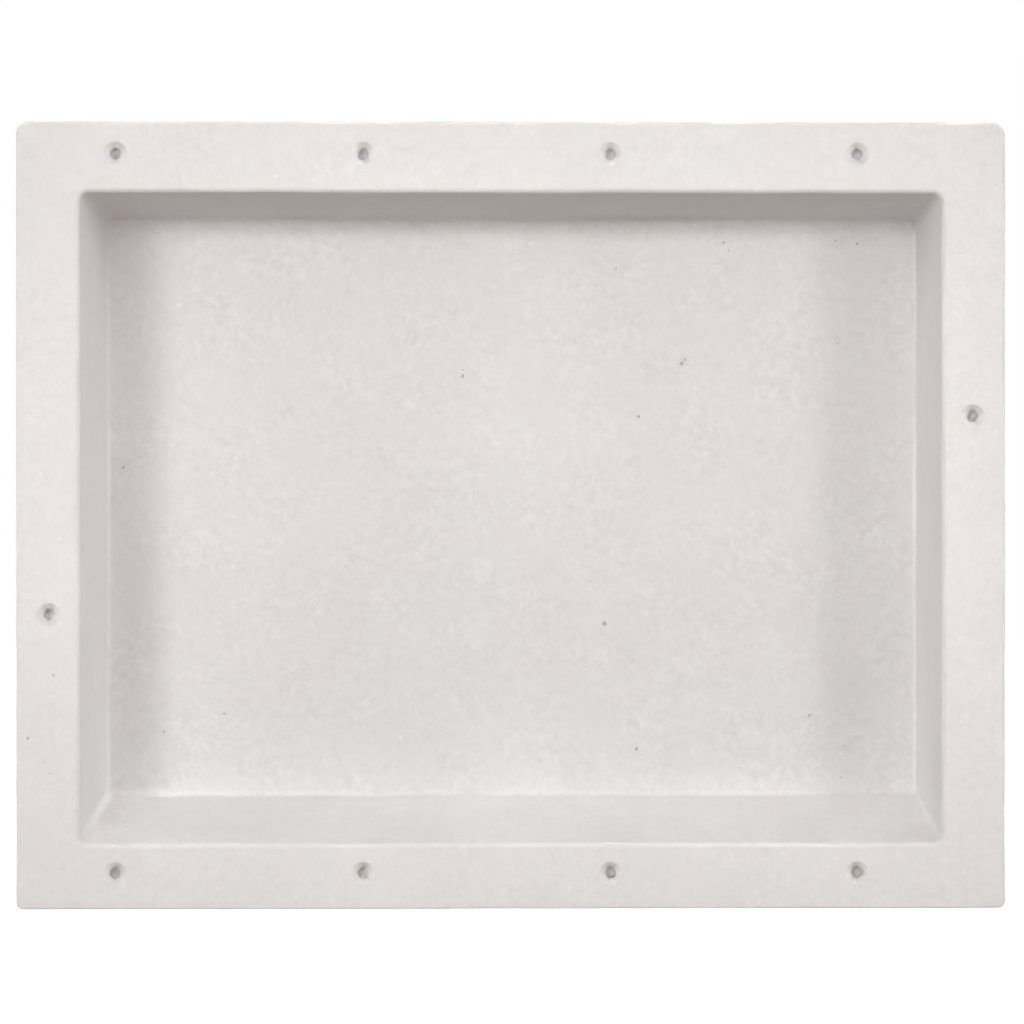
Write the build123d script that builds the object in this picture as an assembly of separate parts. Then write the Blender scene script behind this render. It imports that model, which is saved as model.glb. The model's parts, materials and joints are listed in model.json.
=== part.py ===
from build123d import *

import os
from math import radians, tan

# Shower niche insert: one rigid shell, moulded in one shot, that is let into a shower wall
# before tiling. A flat flange lies on the studs and takes the screws, and a shallow box
# behind it makes the recess that holds bottles.
# X is to the right and Z is up. The recess opens towards -Y. The origin is the centre of
# the flange's rear face, which is the plane of the studs. Millimetres and degrees.

# Flange, which is as thick as the wall board that is laid up to its edge
flange_width = 508.0
flange_height = 404.0
flange_thickness = 12.7
flange_top_corner_radius = 6.5
flange_bottom_corner_radius = 3.5
flange_front_edge_radius = 1.6
flange_rear_edge_radius = 0.8

# Recess, with its mouth in the flange's front face
side_margin = 32.6
top_margin = 36.4
bottom_margin = 33.4
side_draft = 1.0
top_draft = 3.0
shelf_slope = 10.0
recess_corner_radius = 4.5
mouth_edge_radius = 2.4
floor_edge_radius = 2.4

# Box behind the flange, whose back closes the recess
overall_depth = 101.6
wall = 10.0
box_corner_radius = 9.0
box_back_edge_radius = 6.0
box_root_radius = 1.5

# Screw holes, drilled and countersunk from the front. They stop short of the rear face and leave
# a skin there, which the screw goes through, so that no unused hole leaks. They stand clear of
# the box's walls, and a row has as many holes as its pitch leaves room for.
hole_diameter = 5.8
hole_skin = 3.5
drill_point_angle = 118.0
countersink_diameter = 12.0
countersink_angle = 100.0
hole_pitch = 127.0
first_hole = 50.8
least_end_distance = 16.0
top_row_clearance = 10.0
bottom_row_clearance = 5.3
side_hole_clearance = 5.9
side_hole_offset = 51.0

# Places that follow from the sizes above
front = -flange_thickness
recess_depth = overall_depth - wall
recess_half_width = flange_width / 2 - side_margin
recess_top = flange_height / 2 - top_margin
recess_bottom = bottom_margin - flange_height / 2
front_plane = Plane.XZ.offset(flange_thickness)


def drafted_block(depth, growth):
    """The recess as a solid that runs back from the front face, with its four sides moved out."""
    end = front + depth
    mouth_half_width = recess_half_width + growth
    end_half_width = mouth_half_width - depth * tan(radians(side_draft))
    top = recess_top + growth
    bottom = recess_bottom - growth
    plan = Polygon(
        (-mouth_half_width, front),
        (mouth_half_width, front),
        (end_half_width, end),
        (-end_half_width, end),
        align=None,
    )
    section = Plane.YZ * Polygon(
        (front, bottom),
        (front, top),
        (end, top - depth * tan(radians(top_draft))),
        (end, bottom + depth * tan(radians(shelf_slope))),
        align=None,
    )
    across = extrude(plan, flange_height / 2, both=True)
    through = extrude(section, flange_width / 2, both=True)
    return across & through


def rounded_block(depth, growth, corner_radius, end_radius):
    """A drafted block with its four long corners and the edges of its back face rounded."""
    block = drafted_block(depth, growth)
    long_corners = block.edges().group_by(Axis.Y)[1]
    block = fillet(long_corners, corner_radius)
    end_edges = block.faces().sort_by(Axis.Y)[-1].edges()
    return fillet(end_edges, end_radius)


def flange_plate():
    """The flat plate that frames the recess, before the recess is taken out of it."""
    outline = Rectangle(flange_width, flange_height)
    outline = fillet(outline.vertices().group_by(Axis.Y)[-1], flange_top_corner_radius)
    outline = fillet(outline.vertices().group_by(Axis.Y)[0], flange_bottom_corner_radius)
    return extrude(Plane.XZ * outline, flange_thickness)


def front_face(body):
    """The flange's front face, the first of the flat faces that are square to Y."""
    return body.faces().filter_by(Plane.XZ).sort_by(Axis.Y)[0]


def rear_face(body):
    """The flange's rear face, which lies on the studs and is the next one behind it."""
    return body.faces().filter_by(Plane.XZ).sort_by(Axis.Y)[1]


def shell():
    """The flange and the box as one moulding, with the recess hollowed out and its edges eased."""
    box = rounded_block(overall_depth, wall, box_corner_radius, box_back_edge_radius)
    recess = rounded_block(recess_depth, 0, recess_corner_radius, floor_edge_radius)
    body = flange_plate() + box

    body = fillet(rear_face(body).inner_wires()[0].edges(), box_root_radius)
    body = fillet(rear_face(body).outer_wire().edges(), flange_rear_edge_radius)
    body -= recess
    body = fillet(front_face(body).inner_wires()[0].edges(), mouth_edge_radius)
    return fillet(front_face(body).outer_wire().edges(), flange_front_edge_radius)


def hole_centres():
    """Screw holes seen from the front: a row along each long edge and one hole at each side."""
    run = flange_width - first_hole - least_end_distance
    holes_in_row = int(run // hole_pitch) + 1
    start = first_hole - flange_width / 2
    along = [start + index * hole_pitch for index in range(holes_in_row)]
    top = recess_top + wall + top_row_clearance
    bottom = recess_bottom - wall - bottom_row_clearance
    side = recess_half_width + wall + side_hole_clearance
    rows = [(x, z) for z in (top, bottom) for x in along]
    return rows + [(-side, -side_hole_offset), (side, side_hole_offset)]


def screw_hole():
    """One countersunk blind hole as a cutter, whose mouth is at the origin and whose point is below."""
    mouth = countersink_diameter / 2
    radius = hole_diameter / 2
    wall_start = (mouth - radius) / tan(radians(countersink_angle / 2))
    point = flange_thickness - hole_skin
    wall_end = point - radius / tan(radians(drill_point_angle / 2))
    profile = Plane.XZ * Polygon(
        (0, 0),
        (mouth, 0),
        (radius, -wall_start),
        (radius, -wall_end),
        (0, -point),
        align=None,
    )
    return revolve(profile, Axis.Z)


niche_shell = shell() - front_plane * Locations(*hole_centres()) * screw_hole()

os.makedirs("parts", exist_ok=True)
export_step(niche_shell, "parts/niche_shell.step")
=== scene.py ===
import json
from collections import namedtuple
from math import cos, pi, radians, sin, sqrt, tan

import bmesh
import bpy
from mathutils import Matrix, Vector, noise


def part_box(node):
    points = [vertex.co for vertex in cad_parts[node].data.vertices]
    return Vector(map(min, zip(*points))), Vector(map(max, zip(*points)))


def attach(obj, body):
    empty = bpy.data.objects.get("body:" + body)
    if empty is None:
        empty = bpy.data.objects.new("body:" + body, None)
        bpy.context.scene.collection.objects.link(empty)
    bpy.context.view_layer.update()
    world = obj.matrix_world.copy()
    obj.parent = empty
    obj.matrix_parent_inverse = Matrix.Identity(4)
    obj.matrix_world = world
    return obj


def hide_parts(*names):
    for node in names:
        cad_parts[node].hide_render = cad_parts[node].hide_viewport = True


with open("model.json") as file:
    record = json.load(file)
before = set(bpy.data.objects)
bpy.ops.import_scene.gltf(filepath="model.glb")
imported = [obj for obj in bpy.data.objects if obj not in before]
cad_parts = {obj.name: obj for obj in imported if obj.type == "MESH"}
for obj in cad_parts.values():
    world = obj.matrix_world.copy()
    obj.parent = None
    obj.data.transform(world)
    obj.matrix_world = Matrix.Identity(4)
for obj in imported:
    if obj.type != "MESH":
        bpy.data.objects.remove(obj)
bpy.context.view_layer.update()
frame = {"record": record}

# Moulded shell
# The whole insert is one moulding of rigid polyurethane: a flat flange with a shallow box behind it.
# It is cast in a closed tool, so each wall has draft, each edge is rounded and nothing is quite straight.
MM = 0.001
low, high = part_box("niche_shell")
front = low.y
flange_thickness = -front
overall_depth = high.y - low.y
wall = 10.0 * MM
recess_depth = overall_depth - wall
panel_face = high.y - wall

flange_top_corner = 6.5 * MM
flange_bottom_corner = 3.5 * MM
flange_front_edge = 1.6 * MM
lower_edge_share = 0.35
flange_rear_edge = 0.8 * MM

side_margin = 32.6 * MM
top_margin = 36.4 * MM
bottom_margin = 33.4 * MM
side_slope = tan(radians(1.0))
roof_slope = tan(radians(3.0))
shelf_slope = tan(radians(10.0))
recess_corner = 4.5 * MM
recess_lip = 2.4 * MM
recess_floor_edge = 2.4 * MM

box_corner = 9.0 * MM
box_back_edge = 6.0 * MM
box_root = 1.5 * MM

# How far the moulding strays from its true form, and over what length that comes and goes
stray_of_flats = 0.05 * MM
stray_of_lip = 0.22 * MM
stray_of_floor_edge = 0.28 * MM
stray_of_rim = 0.16 * MM
stray_length = 26.0 * MM
stray_off_plane = 0.4
ripple_share = 0.5
ripple_rate = 2.7
wander_starts = ((31.7, 0.0, 0.0), (0.0, 47.3, 0.0), (0.0, 0.0, 63.1))

# Faces round each edge, rows of faces from one edge to the next, and faces along each side of a ring
faces_round_large_edge = 6
faces_round_front_rim = 5
faces_round_rear_rim = 3
faces_round_root = 4
rows_down_recess = 16
rows_across_front = 8
rows_across_rim = 3
rows_across_rear = 4
rows_along_box = 12
steps_across = 116
steps_upright = 92
steps_corner = 6

# Narrow rows beside each edge keep the smooth shading of the edge off the flat face
edge_guard = 0.4 * MM
largest_guard_share = 0.25

Ring = namedtuple("Ring", "left right bottom top bottom_radius top_radius y stray")


def flange_ring(inset, y, stray):
    """The flange's outline, drawn in from its true edge, and less so at the sharper lower edge."""
    return Ring(
        low.x + inset,
        high.x - inset,
        low.z + inset * lower_edge_share,
        high.z - inset,
        flange_bottom_corner - inset,
        flange_top_corner - inset,
        y,
        stray,
    )


def recess_ring(inset, depth, stray, outward=0.0, corner=recess_corner):
    """The recess outline at a depth behind the front face, or the outside of the box around it."""
    side = side_margin + inset - outward + depth * side_slope
    return Ring(
        low.x + side,
        high.x - side,
        low.z + bottom_margin + inset - outward + depth * shelf_slope,
        high.z - top_margin - inset + outward - depth * roof_slope,
        corner - inset,
        corner - inset,
        front + depth,
        stray,
    )


def box_ring(inset, depth, stray):
    """The outside of the box, one wall's thickness out from the recess."""
    return recess_ring(inset, depth, stray, wall, box_corner)


def between(first, last, rows):
    """Rings from one to another on a straight line, without the two ends, with one close to each end."""
    span = max(abs(a - b) for a, b in zip(first[:-1], last[:-1]))
    guard = min(edge_guard / span, largest_guard_share)
    shares = [guard] + [row / rows for row in range(1, rows)] + [1 - guard]
    return [Ring(*(a + (b - a) * share for a, b in zip(first, last))) for share in shares]


def quarter(faces):
    """Sine and cosine along a quarter turn, both ends included."""
    return [(sin(pi / 2 * face / faces), cos(pi / 2 * face / faces)) for face in range(faces + 1)]


def shell_rings():
    """The moulding's skin as rings, from the recess's back panel round the flange to the box's back."""
    floor_edge = [
        recess_ring(
            recess_floor_edge * (1 - s), recess_depth - recess_floor_edge * (1 - c), stray_of_floor_edge
        )
        for s, c in quarter(faces_round_large_edge)
    ]
    lip = [
        recess_ring(-recess_lip * (1 - c), recess_lip * (1 - s), stray_of_lip)
        for s, c in quarter(faces_round_large_edge)
    ]
    front_rim = [
        flange_ring(flange_front_edge * (1 - s), front + flange_front_edge * (1 - c), stray_of_rim)
        for s, c in quarter(faces_round_front_rim)
    ]
    rear_rim = [
        flange_ring(flange_rear_edge * (1 - c), flange_rear_edge * (s - 1), stray_of_rim)
        for s, c in quarter(faces_round_rear_rim)
    ]
    root = [
        box_ring(-box_root * (1 - s), flange_thickness + box_root * (1 - c), stray_of_flats)
        for s, c in quarter(faces_round_root)
    ]
    box_end = [
        box_ring(box_back_edge * (1 - c), overall_depth - box_back_edge * (1 - s), stray_of_lip)
        for s, c in quarter(faces_round_large_edge)
    ]
    rings = floor_edge + between(floor_edge[-1], lip[0], rows_down_recess) + lip
    rings += between(lip[-1], front_rim[0], rows_across_front) + front_rim
    rings += between(front_rim[-1], rear_rim[0], rows_across_rim) + rear_rim
    rings += between(rear_rim[-1], root[0], rows_across_rear) + root
    return rings + between(root[-1], box_end[0], rows_along_box) + box_end


def ring_points(ring):
    """The points of one rounded rectangle, counter-clockwise from its lower left corner."""
    lower = ring.bottom_radius
    upper = ring.top_radius
    corners = [
        (ring.left + lower, ring.bottom + lower, lower, steps_across),
        (ring.right - lower, ring.bottom + lower, lower, steps_upright),
        (ring.right - upper, ring.top - upper, upper, steps_across),
        (ring.left + upper, ring.top - upper, upper, steps_upright),
    ]
    arcs = []
    for index, (x, z, radius, _) in enumerate(corners):
        turns = [pi + pi / 2 * (index + step / steps_corner) for step in range(steps_corner + 1)]
        arcs.append([Vector((x + radius * cos(turn), ring.y, z + radius * sin(turn))) for turn in turns])
    points = []
    for arc, next_arc, (*_, steps) in zip(arcs, arcs[1:] + arcs[:1], corners):
        points += arc
        points += [arc[-1].lerp(next_arc[0], step / steps) for step in range(1, steps)]
    return points


def wander(point):
    """A smooth wander along X, Y and Z, each read from a part of the noise far from the others."""
    return Vector([noise.noise(point + Vector(start)) for start in wander_starts])


def strayed(point, amount):
    """Where a point of the true form ends up on the moulding, never outside the tool's outline."""
    shift = wander(point / stray_length) + ripple_share * wander(point * ripple_rate / stray_length)
    shift.y *= stray_off_plane
    moved = point + shift * amount
    return Vector(max(least, min(most, value)) for least, value, most in zip(low, moved, high))


def close_end(bm, loop, ring):
    """Fill a ring with a grid of square faces that meets the ring's points one to one."""
    left = ring.left + ring.bottom_radius
    right = ring.right - ring.bottom_radius
    bottom = ring.bottom + ring.bottom_radius
    top = ring.top - ring.top_radius
    grid = []
    for row in range(steps_upright + 1):
        z = bottom + (top - bottom) * row / steps_upright
        line = []
        for column in range(steps_across + 1):
            x = left + (right - left) * column / steps_across
            at_edge = column in (0, steps_across) or row in (0, steps_upright)
            stray = ring.stray if at_edge else stray_of_flats
            line.append(bm.verts.new(strayed(Vector((x, ring.y, z)), stray)))
        grid.append(line)
    for lower, upper in zip(grid, grid[1:]):
        for column in range(steps_across):
            bm.faces.new((lower[column], lower[column + 1], upper[column + 1], upper[column]))
    edge = grid[0][:-1] + [line[-1] for line in grid[:-1]]
    edge += grid[-1][:0:-1] + [line[0] for line in grid[:0:-1]]
    corners = (0, steps_across, steps_across + steps_upright, 2 * steps_across + steps_upright)
    outer = 0
    for index, vert in enumerate(edge):
        if index in corners:
            for _ in range(steps_corner):
                bm.faces.new((loop[outer], loop[outer + 1], vert))
                outer += 1
        after = edge[(index + 1) % len(edge)]
        bm.faces.new((loop[outer], loop[(outer + 1) % len(loop)], after, vert))
        outer += 1


def finished_bmesh(bm, name):
    """Turn a bmesh's faces outwards and make it a mesh."""
    bmesh.ops.recalc_face_normals(bm, faces=bm.faces)
    mesh = bpy.data.meshes.new(name)
    bm.to_mesh(mesh)
    bm.free()
    return mesh


def moulded_shell_mesh():
    """The moulding before it is drilled: a skin over its rings, closed at the panel and at the back."""
    bm = bmesh.new()
    rings = shell_rings()
    loops = [[bm.verts.new(strayed(point, ring.stray)) for point in ring_points(ring)] for ring in rings]
    for inner, outer in zip(loops, loops[1:]):
        for index in range(len(inner)):
            after = (index + 1) % len(inner)
            bm.faces.new((inner[index], inner[after], outer[after], outer[index]))
    close_end(bm, loops[0], rings[0])
    close_end(bm, loops[-1], rings[-1])
    return finished_bmesh(bm, "moulded_shell")


def new_object(name, mesh):
    """Put a mesh in the scene under its own name, at the origin."""
    piece = bpy.data.objects.new(name, mesh)
    bpy.context.scene.collection.objects.link(piece)
    return piece


shell = new_object("moulded_shell", moulded_shell_mesh())

# Moulded polyurethane
# A rigid casting resin, pale warm grey all through, with a matt skin off a fine-blasted tool.
# Filler that flowed and settled leaves clouds, patches of short soft strokes, and pale and dark flecks.
dark_grey = "#CFCCCC"
pale_grey = "#EAE8E8"
darkest_tone = -1.2
palest_tone = 2.2
skin_roughness = 0.62
skin_specular = 0.3
relief_height = 0.05 * MM

swirl_size = 7.0 * MM
swirl_bend = 1.5
cloud_size = 50.0 * MM
stroke_length = 9.0 * MM
stroke_width = 3.6 * MM
stroke_bend = 0.8
# Two layers of strokes: the size of the tufts that lie one way, and a shift that keeps the layers apart
stroke_layers = ((17.0 * MM, 0.0), (12.0 * MM, 0.37))

# The grain comes and goes in patches. It is strongest on the back panel, and faint on the walls, which slid
# along the tool as the casting was drawn
noise_mean = 0.5
patch_size = 28.0 * MM
patch_from = 0.35
patch_to = 0.65
faintest_patch = 0.5
strongest_patch = 1.4
grain_on_flange = 0.65
grain_on_walls = 0.35
grain_on_panel = 1.0

fleck_spacing = 10.0 * MM
fleck_radius = 1.4 * MM
fleck_core = 0.4
darkest_fleck = -0.9
palest_fleck = 1.2


def linear(hex_colour):
    """An sRGB hex colour as linear red, green, blue and alpha."""
    parts = [int(hex_colour[i : i + 2], 16) / 255 for i in (1, 3, 5)]
    return [p / 12.92 if p <= 0.04045 else ((p + 0.055) / 1.055) ** 2.4 for p in parts] + [1.0]


def add_node(tree, kind, feeds=None, **settings):
    """Add a node to a tree, with its settings, and set or link what feeds each of its sockets."""
    node = tree.nodes.new(kind)
    for name, value in settings.items():
        setattr(node, name, value)
    for socket, value in (feeds or {}).items():
        if isinstance(value, bpy.types.NodeSocket):
            tree.links.new(value, node.inputs[socket])
        else:
            node.inputs[socket].default_value = value
    return node


def strokes(tree, place, tuft_size, shift):
    """Short soft strokes that lie one way within a tuft and another way in the next one."""
    moved = add_node(
        tree, "ShaderNodeVectorMath", {0: place, 1: (shift, shift, shift)}, operation="ADD"
    ).outputs["Vector"]
    tufts = add_node(tree, "ShaderNodeTexVoronoi", {"Vector": moved, "Scale": 1 / tuft_size}, feature="F1")
    lie = add_node(tree, "ShaderNodeSeparateColor", {"Color": tufts.outputs["Color"]})
    turn = add_node(tree, "ShaderNodeMath", {0: lie.outputs["Red"], 1: 2 * pi}, operation="MULTIPLY")
    turned_place = add_node(
        tree,
        "ShaderNodeVectorRotate",
        {"Vector": moved, "Angle": turn.outputs[0]},
        rotation_type="Y_AXIS",
    )
    drawn_out = add_node(
        tree,
        "ShaderNodeMapping",
        {
            "Vector": turned_place.outputs["Vector"],
            "Scale": (1 / stroke_length, 1 / stroke_width, 1 / stroke_width),
        },
    )
    return add_node(
        tree,
        "ShaderNodeTexNoise",
        {"Vector": drawn_out.outputs["Vector"], "Scale": 1.0, "Detail": 0.0, "Distortion": stroke_bend},
    ).outputs["Fac"]


def flecks(tree, place):
    """Grains of filler cut by the surface, each a small round dot that is paler or darker than the rest."""
    grains = add_node(
        tree, "ShaderNodeTexVoronoi", {"Vector": place, "Scale": 1 / fleck_spacing}, feature="F1"
    )
    dots = add_node(
        tree,
        "ShaderNodeMapRange",
        {
            "Value": grains.outputs["Distance"],
            "From Min": fleck_radius / fleck_spacing,
            "From Max": fleck_core * fleck_radius / fleck_spacing,
        },
        interpolation_type="SMOOTHSTEP",
    )
    kind = add_node(tree, "ShaderNodeSeparateColor", {"Color": grains.outputs["Color"]})
    tone = add_node(
        tree,
        "ShaderNodeMapRange",
        {"Value": kind.outputs["Red"], "To Min": darkest_fleck, "To Max": palest_fleck},
    )
    return add_node(
        tree, "ShaderNodeMath", {0: dots.outputs["Result"], 1: tone.outputs["Result"]}, operation="MULTIPLY"
    ).outputs[0]


def moulded_polyurethane():
    """The casting's one material, mottled between two greys, with the faint relief of its swirls."""
    material = bpy.data.materials.new("moulded_polyurethane")
    material.use_nodes = True
    tree = material.node_tree
    shader = tree.nodes["Principled BSDF"]
    place = add_node(tree, "ShaderNodeTexCoord").outputs["Object"]

    swirls = add_node(
        tree,
        "ShaderNodeTexNoise",
        {"Vector": place, "Scale": 1 / swirl_size, "Detail": 1.0, "Distortion": swirl_bend},
    ).outputs["Fac"]
    grain = swirls
    for tuft_size, shift in stroke_layers:
        grain = add_node(
            tree, "ShaderNodeMath", {0: strokes(tree, place, tuft_size, shift), 1: grain}, operation="ADD"
        ).outputs[0]

    patches = add_node(
        tree, "ShaderNodeTexNoise", {"Vector": place, "Scale": 1 / patch_size, "Detail": 1.0}
    ).outputs["Fac"]
    strength = add_node(
        tree,
        "ShaderNodeMapRange",
        {
            "Value": patches,
            "From Min": patch_from,
            "From Max": patch_to,
            "To Min": faintest_patch,
            "To Max": strongest_patch,
        },
    ).outputs["Result"]
    grain_mean = noise_mean * (1 + len(stroke_layers))
    grain = add_node(tree, "ShaderNodeMath", {0: grain, 1: grain_mean}, operation="SUBTRACT").outputs[0]
    grain = add_node(tree, "ShaderNodeMath", {0: grain, 1: strength}, operation="MULTIPLY").outputs[0]
    depth = add_node(tree, "ShaderNodeSeparateXYZ", {"Vector": place}).outputs["Y"]
    share = grain_on_flange
    for here, there, step in (
        (front, front + recess_lip, grain_on_walls - grain_on_flange),
        (panel_face - recess_floor_edge, panel_face, grain_on_panel - grain_on_walls),
    ):
        change = add_node(
            tree, "ShaderNodeMapRange", {"Value": depth, "From Min": here, "From Max": there, "To Max": step}
        ).outputs["Result"]
        share = add_node(tree, "ShaderNodeMath", {0: change, 1: share}, operation="ADD").outputs[0]
    grain = add_node(tree, "ShaderNodeMath", {0: grain, 1: share}, operation="MULTIPLY").outputs[0]

    clouds = add_node(
        tree, "ShaderNodeTexNoise", {"Vector": place, "Scale": 1 / cloud_size, "Detail": 2.0}
    ).outputs["Fac"]
    tone = add_node(tree, "ShaderNodeMath", {0: grain, 1: clouds}, operation="ADD").outputs[0]
    tone = add_node(tree, "ShaderNodeMath", {0: tone, 1: flecks(tree, place)}, operation="ADD").outputs[0]
    tone = add_node(
        tree, "ShaderNodeMapRange", {"Value": tone, "From Min": darkest_tone, "From Max": palest_tone}
    ).outputs["Result"]
    colour = add_node(
        tree,
        "ShaderNodeMix",
        {"Factor": tone, 6: linear(dark_grey), 7: linear(pale_grey)},
        data_type="RGBA",
    ).outputs[2]
    bump = add_node(
        tree, "ShaderNodeBump", {"Height": swirls, "Strength": 1.0, "Distance": relief_height}
    )
    tree.links.new(colour, shader.inputs["Base Color"])
    tree.links.new(bump.outputs["Normal"], shader.inputs["Normal"])
    shader.inputs["Roughness"].default_value = skin_roughness
    shader.inputs["Specular IOR Level"].default_value = skin_specular
    return material


# Screw holes
# Ten holes for countersunk screws, drilled and countersunk by one bit from the front after moulding.
# They stop short of the rear face, and the bit eases the edge where countersink and hole meet.
hole_skin = 3.5 * MM
hole_point = radians(118.0 / 2)
countersink_radius = 6.0 * MM
countersink_slope = radians(100.0 / 2)
bit_clearance = 0.6 * MM
bit_ease = 0.15 * MM
bit_sides = 48
side_hole_offset = 51.0 * MM
hole_patterns = [mount for mount in frame["record"]["mounts"] if "hole_r_mm" in mount["dims"]]


def hole_places():
    """Centres of the screw holes in the front face, from the patterns of the record's mounts."""
    places = []
    for pattern in hole_patterns:
        dims = pattern["dims"]
        centre_x, _, centre_z = pattern["pos_m"]
        if "spacing_x_mm" in dims:
            half_x = dims["spacing_x_mm"] * MM / 2
            half_z = dims["spacing_y_mm"] * MM / 2
            for x in (centre_x - half_x, centre_x + half_x):
                places += [(x, front, centre_z - half_z), (x, front, centre_z + half_z)]
        else:
            side = sqrt((dims["pcd_mm"] * MM / 2) ** 2 - side_hole_offset**2)
            places += [(-side, front, -side_hole_offset), (side, front, side_hole_offset)]
    return places


def bit_profile():
    """Radius and depth along the drill bit's edge, from in front of the face to the point."""
    bore = hole_patterns[0]["dims"]["hole_r_mm"] * MM
    cone_depth = (countersink_radius - bore) / tan(countersink_slope)
    point = flange_thickness - hole_skin
    return [
        (countersink_radius + bit_clearance * tan(countersink_slope), -bit_clearance),
        (bore + bit_ease, cone_depth - bit_ease / tan(countersink_slope)),
        (bore, cone_depth + bit_ease),
        (bore, point - bore / tan(hole_point)),
        (0.0, point),
    ]


def turned(name, profile, sides):
    """A closed solid turned about Y from radius and depth pairs, the last of which is its point."""
    bm = bmesh.new()
    loops = []
    for radius, depth in profile[:-1]:
        turns = [2 * pi * side / sides for side in range(sides)]
        loops.append([bm.verts.new((radius * cos(turn), depth, radius * sin(turn))) for turn in turns])
    tip = bm.verts.new((0, profile[-1][1], 0))
    bm.faces.new(loops[0])
    for upper, lower in zip(loops, loops[1:]):
        for side in range(sides):
            after = (side + 1) % sides
            bm.faces.new((upper[side], upper[after], lower[after], lower[side]))
    for side in range(sides):
        bm.faces.new((loops[-1][side], loops[-1][(side + 1) % sides], tip))
    return finished_bmesh(bm, name)


def places_object(name, places):
    """An object of loose points, for a tree to put a cutter on each."""
    mesh = bpy.data.meshes.new(name)
    mesh.from_pydata(places, [], [])
    return new_object(name, mesh)


drill_bit = new_object("drill_bit", turned("drill_bit", bit_profile(), bit_sides))
hole_points = places_object("hole_places", hole_places())

# Pinholes
# Air bubbles that were trapped against the tool left pits in the moulding's skin. The two dozen that show
# most are where the insert has them, as across, up and radius in millimetres, and small ones are scattered.
pinholes_on_panel = [
    (50.1, -59.2, 1.26),
    (92.0, 82.3, 1.15),
    (93.8, 84.5, 0.85),
    (67.5, -127.2, 1.03),
    (-27.1, 75.2, 1.03),
    (-27.3, 78.5, 0.75),
    (114.9, 148.1, 0.92),
    (187.8, 147.6, 0.92),
    (68.6, 53.5, 0.8),
    (56.1, 134.0, 0.8),
    (117.6, 143.8, 0.69),
    (175.8, 149.2, 0.69),
    (-189.3, -117.9, 0.92),
    (161.7, -109.2, 0.92),
    (-156.6, -108.1, 0.8),
    (176.9, 93.2, 0.69),
    (175.3, 77.4, 0.69),
    (179.1, -142.9, 0.69),
    (-211.0, 25.7, 0.69),
    (-149.5, 57.3, 0.69),
    (31.6, 4.0, 0.69),
    (65.4, -79.3, 0.69),
]
pinholes_on_flange = [
    (-247.7, -114.4, 0.9),
    (-234.8, -82.1, 0.7),
    (-236.4, -132.4, 0.5),
    (243.9, 179.9, 0.5),
]
depth_per_radius = 2.6
bubble_seed = 7
bubbles_per_square_metre = 110.0
smallest_bubble = 0.25 * MM
largest_bubble = 0.5 * MM
# Points that the cutting leaves closer together than this become one
weld = 0.003 * MM
smooth_up_to = radians(32.0)


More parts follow.
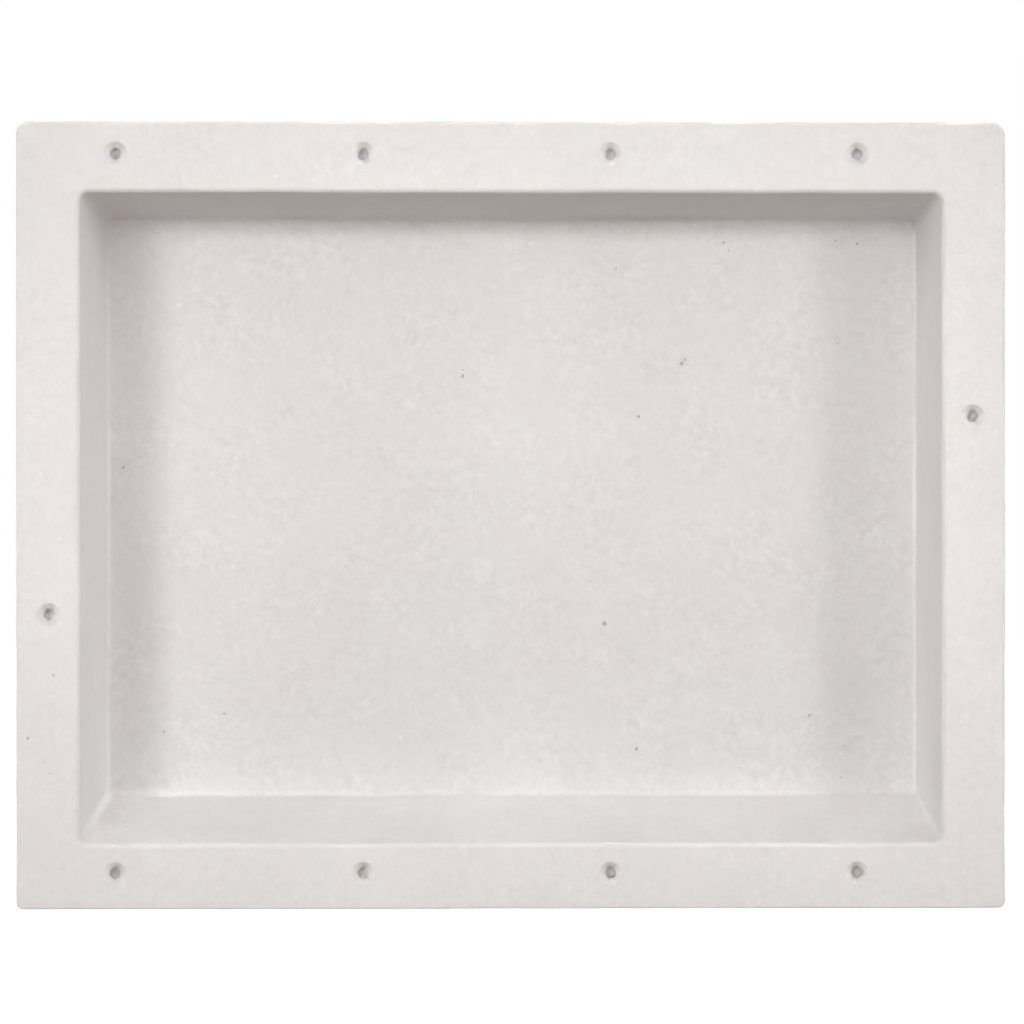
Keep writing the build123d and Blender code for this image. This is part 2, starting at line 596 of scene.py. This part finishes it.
def pitted_and_drilled():
    """A tree that cuts the screw holes and the pinholes out of the moulding it is given."""
    tree = bpy.data.node_groups.new("pitted_and_drilled", "GeometryNodeTree")
    inputs = {}
    for name, kind in (
        ("Moulding", "NodeSocketGeometry"),
        ("Drill Bit", "NodeSocketObject"),
        ("Hole Places", "NodeSocketObject"),
        ("Pinhole Places", "NodeSocketObject"),
        ("Bubbles Per Square Metre", "NodeSocketFloat"),
        ("Smallest Bubble", "NodeSocketFloat"),
        ("Largest Bubble", "NodeSocketFloat"),
        ("Seed", "NodeSocketInt"),
        ("Weld", "NodeSocketFloat"),
        ("Material", "NodeSocketMaterial"),
    ):
        inputs[name] = tree.interface.new_socket(name=name, in_out="INPUT", socket_type=kind).identifier
    tree.interface.new_socket(name="Piece", in_out="OUTPUT", socket_type="NodeSocketGeometry")
    given = add_node(tree, "NodeGroupInput").outputs

    bit = add_node(tree, "GeometryNodeObjectInfo", {"Object": given["Drill Bit"]})
    holes = add_node(tree, "GeometryNodeObjectInfo", {"Object": given["Hole Places"]})
    bits = add_node(
        tree,
        "GeometryNodeInstanceOnPoints",
        {"Points": holes.outputs["Geometry"], "Instance": bit.outputs["Geometry"]},
    )

    ball = add_node(tree, "GeometryNodeMeshIcoSphere", {"Radius": 1.0, "Subdivisions": 2})
    pits = add_node(tree, "GeometryNodeObjectInfo", {"Object": given["Pinhole Places"]})
    pit_radius = add_node(tree, "GeometryNodeInputNamedAttribute", {"Name": "radius"}, data_type="FLOAT")
    pit_scale = add_node(
        tree,
        "ShaderNodeVectorMath",
        {0: (1.0, depth_per_radius, 1.0), "Scale": pit_radius.outputs["Attribute"]},
        operation="SCALE",
    )
    pit_cutters = add_node(
        tree,
        "GeometryNodeInstanceOnPoints",
        {
            "Points": pits.outputs["Geometry"],
            "Instance": ball.outputs["Mesh"],
            "Scale": pit_scale.outputs["Vector"],
        },
    )

    scatter = add_node(
        tree,
        "GeometryNodeDistributePointsOnFaces",
        {
            "Mesh": given["Moulding"],
            "Density": given["Bubbles Per Square Metre"],
            "Seed": given["Seed"],
        },
    )
    bubble_size = add_node(
        tree,
        "FunctionNodeRandomValue",
        {2: given["Smallest Bubble"], 3: given["Largest Bubble"], "Seed": given["Seed"]},
        data_type="FLOAT",
    )
    bubbles = add_node(
        tree,
        "GeometryNodeInstanceOnPoints",
        {
            "Points": scatter.outputs["Points"],
            "Instance": ball.outputs["Mesh"],
            "Scale": bubble_size.outputs[1],
        },
    )

    cutters = add_node(tree, "GeometryNodeJoinGeometry")
    for part in (bits, pit_cutters, bubbles):
        tree.links.new(part.outputs["Instances"], cutters.inputs["Geometry"])
    loose = add_node(tree, "GeometryNodeRealizeInstances", {"Geometry": cutters.outputs["Geometry"]})
    cut = add_node(
        tree,
        "GeometryNodeMeshBoolean",
        {"Mesh 1": given["Moulding"], "Mesh 2": loose.outputs["Geometry"]},
        operation="DIFFERENCE",
        solver="EXACT",
    )
    welded = add_node(
        tree, "GeometryNodeMergeByDistance", {"Geometry": cut.outputs["Mesh"], "Distance": given["Weld"]}
    )
    whole = add_node(tree, "GeometryNodeRealizeInstances", {"Geometry": welded.outputs["Geometry"]})
    finished = add_node(
        tree,
        "GeometryNodeSetMaterial",
        {"Geometry": whole.outputs["Geometry"], "Material": given["Material"]},
    )
    add_node(tree, "NodeGroupOutput", {"Piece": finished.outputs["Geometry"]})
    return tree, inputs


pits = [((x * MM, panel_face, z * MM), radius * MM) for x, z, radius in pinholes_on_panel]
pits += [((x * MM, front, z * MM), radius * MM) for x, z, radius in pinholes_on_flange]
pit_points = places_object("pinhole_places", [place for place, _ in pits])
radii = pit_points.data.attributes.new("radius", "FLOAT", "POINT")
radii.data.foreach_set("value", [radius for _, radius in pits])

tree, inputs = pitted_and_drilled()
cutting = shell.modifiers.new("pitted_and_drilled", "NODES")
cutting.node_group = tree
for name, value in (
    ("Drill Bit", drill_bit),
    ("Hole Places", hole_points),
    ("Pinhole Places", pit_points),
    ("Bubbles Per Square Metre", bubbles_per_square_metre),
    ("Smallest Bubble", smallest_bubble),
    ("Largest Bubble", largest_bubble),
    ("Seed", bubble_seed),
    ("Weld", weld),
    ("Material", moulded_polyurethane()),
):
    cutting[inputs[name]] = value
finished_mesh = bpy.data.meshes.new_from_object(shell.evaluated_get(bpy.context.evaluated_depsgraph_get()))
shell.modifiers.remove(cutting)
shell.data = finished_mesh
finished_mesh.shade_smooth()
finished_mesh.set_sharp_from_angle(angle=smooth_up_to)
for helper in (drill_bit, hole_points, pit_points):
    bpy.data.objects.remove(helper)
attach(shell, "root")
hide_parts("niche_shell")

# Studio
# A plain pale floor under the flange's lower edge, soft lamps round the camera, and a white surround.
# The camera sees floor and surround as white, and the floor throws a little warm light back up.
white = "#FFFFFF"
floor_seen = "#BCBCBC"
floor_bounce = "#94897A"
floor_glow = 0.75
floor_size = 6.0
floor_gap = 0.2 * MM
lamp_distance = 4.0
no_grid = 180.0
insert_middle = (0.0, 0.0, 0.0)
panel_upper_half = (0.0, 0.0, 0.05)
shelf_middle = (0.0, 0.035, -0.165)


def seen_directly(tree):
    """One for rays that show the backdrop itself, to the eye or in a reflection, and zero for its light."""
    rays = add_node(tree, "ShaderNodeLightPath").outputs
    seen = rays["Is Camera Ray"]
    for other in ("Is Glossy Ray", "Is Transmission Ray"):
        seen = add_node(tree, "ShaderNodeMath", {0: seen, 1: rays[other]}, operation="MAXIMUM").outputs[0]
    return seen


def studio_floor():
    """A matt floor that shows as white, and lights the insert as the warm grey that it is."""
    material = bpy.data.materials.new("studio_floor")
    material.use_nodes = True
    tree = material.node_tree
    tree.nodes.clear()
    seen = seen_directly(tree)
    tone = add_node(
        tree,
        "ShaderNodeMix",
        {"Factor": seen, 6: linear(floor_bounce), 7: linear(floor_seen)},
        data_type="RGBA",
    ).outputs[2]
    glow = add_node(tree, "ShaderNodeMath", {0: seen, 1: floor_glow}, operation="MULTIPLY").outputs[0]
    matt = add_node(tree, "ShaderNodeBsdfDiffuse", {"Color": tone})
    lit = add_node(tree, "ShaderNodeEmission", {"Color": linear(white), "Strength": glow})
    both = add_node(tree, "ShaderNodeAddShader", {0: matt.outputs[0], 1: lit.outputs[0]})
    add_node(tree, "ShaderNodeOutputMaterial", {"Surface": both.outputs[0]})
    return material


def softbox(name, azimuth, elevation, width, height, power, grid=no_grid, aim_at=insert_middle):
    """A soft lamp that faces the insert, from an azimuth to the right of straight in front. Its honeycomb
    grid narrows the beam to an angle in degrees, so that it falls off from the point that it is aimed at."""
    lamp = bpy.data.lights.new(name, "AREA")
    lamp.shape = "RECTANGLE"
    lamp.size = width
    lamp.size_y = height
    lamp.energy = power
    lamp.spread = radians(grid)
    holder = bpy.data.objects.new(name, lamp)
    bpy.context.scene.collection.objects.link(holder)
    across = radians(azimuth)
    up = radians(elevation)
    place = Vector((sin(across) * cos(up), -cos(across) * cos(up), sin(up))) * lamp_distance
    holder.location = place
    holder.rotation_euler = (Vector(aim_at) - place).to_track_quat("-Z", "Y").to_euler()
    holder.visible_camera = False


half = floor_size / 2
floor_level = low.z - floor_gap
floor_corners = [(x * half, y * half, floor_level) for x, y in ((-1, -1), (1, -1), (1, 1), (-1, 1))]
floor_mesh = bpy.data.meshes.new("studio_floor")
floor_mesh.from_pydata(floor_corners, [], [(0, 1, 2, 3)])
floor_mesh.materials.append(studio_floor())
new_object("studio_floor", floor_mesh)

# Two lamps beside the camera light the back panel, and two narrow ones lift its upper half and the shelf
softbox("key", azimuth=-20, elevation=7.5, width=1.1, height=0.65, power=1.95, grid=30)
softbox("right_fill", azimuth=33, elevation=7.5, width=0.8, height=0.65, power=0.97, grid=30)
softbox(
    "panel_strip",
    azimuth=0,
    elevation=4.5,
    width=0.5,
    height=0.3,
    power=0.083,
    grid=6,
    aim_at=panel_upper_half,
)
softbox(
    "shelf_strip",
    azimuth=0,
    elevation=73.9,
    width=0.7,
    height=0.05,
    power=0.142,
    grid=5,
    aim_at=shelf_middle,
)
# A low one reaches the roof, three the side walls and one the shelf, and the last three light the back
softbox("low", azimuth=0, elevation=1.5, width=1.6, height=0.25, power=7.1)
softbox("right_wall", azimuth=60, elevation=22, width=4.0, height=3.2, power=28.0)
softbox("left_side", azimuth=-70, elevation=9, width=1.1, height=1.2, power=54.0)
softbox("right_side", azimuth=70, elevation=9, width=1.1, height=1.2, power=42.0)
softbox("top", azimuth=0, elevation=74, width=2.0, height=0.5, power=14.5)
softbox("back_top", azimuth=180, elevation=80, width=2.0, height=0.8, power=56.0)
softbox("back_left", azimuth=-140, elevation=30, width=1.6, height=1.6, power=72.0)
softbox("back_right", azimuth=145, elevation=30, width=1.6, height=1.6, power=60.0)

world = bpy.data.worlds.new("studio")
bpy.context.scene.world = world
world.use_nodes = True
surround = world.node_tree.nodes["Background"]
surround.inputs["Color"].default_value = linear(white)
world.node_tree.links.new(seen_directly(world.node_tree), surround.inputs["Strength"])

# Camera
# It looks at the front face a hair off square, from as far away as the narrowing of the recess tells.
# The insert lies a little beside the lens's axis, so the lens is shifted to bring it to the middle.
camera_distance = 1.55
camera_side = 0.0076
camera_turn = radians(-0.7)
view_width = 0.5258
view_centre = Vector((0.00025, front, 0.0016))
sensor_width = 36.0

axis_meets_front = camera_side - tan(camera_turn) * camera_distance
camera = bpy.data.objects.new("camera", bpy.data.cameras.new("camera"))
bpy.context.scene.collection.objects.link(camera)
bpy.context.scene.camera = camera
camera.data.sensor_width = sensor_width
camera.data.lens = sensor_width * camera_distance / view_width
camera.data.shift_x = (view_centre.x - axis_meets_front) / view_width
camera.location = (camera_side, view_centre.y - camera_distance, view_centre.z)
camera.rotation_euler = (pi / 2, 0.0, camera_turn)
bpy.context.scene.view_settings.view_transform = "Standard"
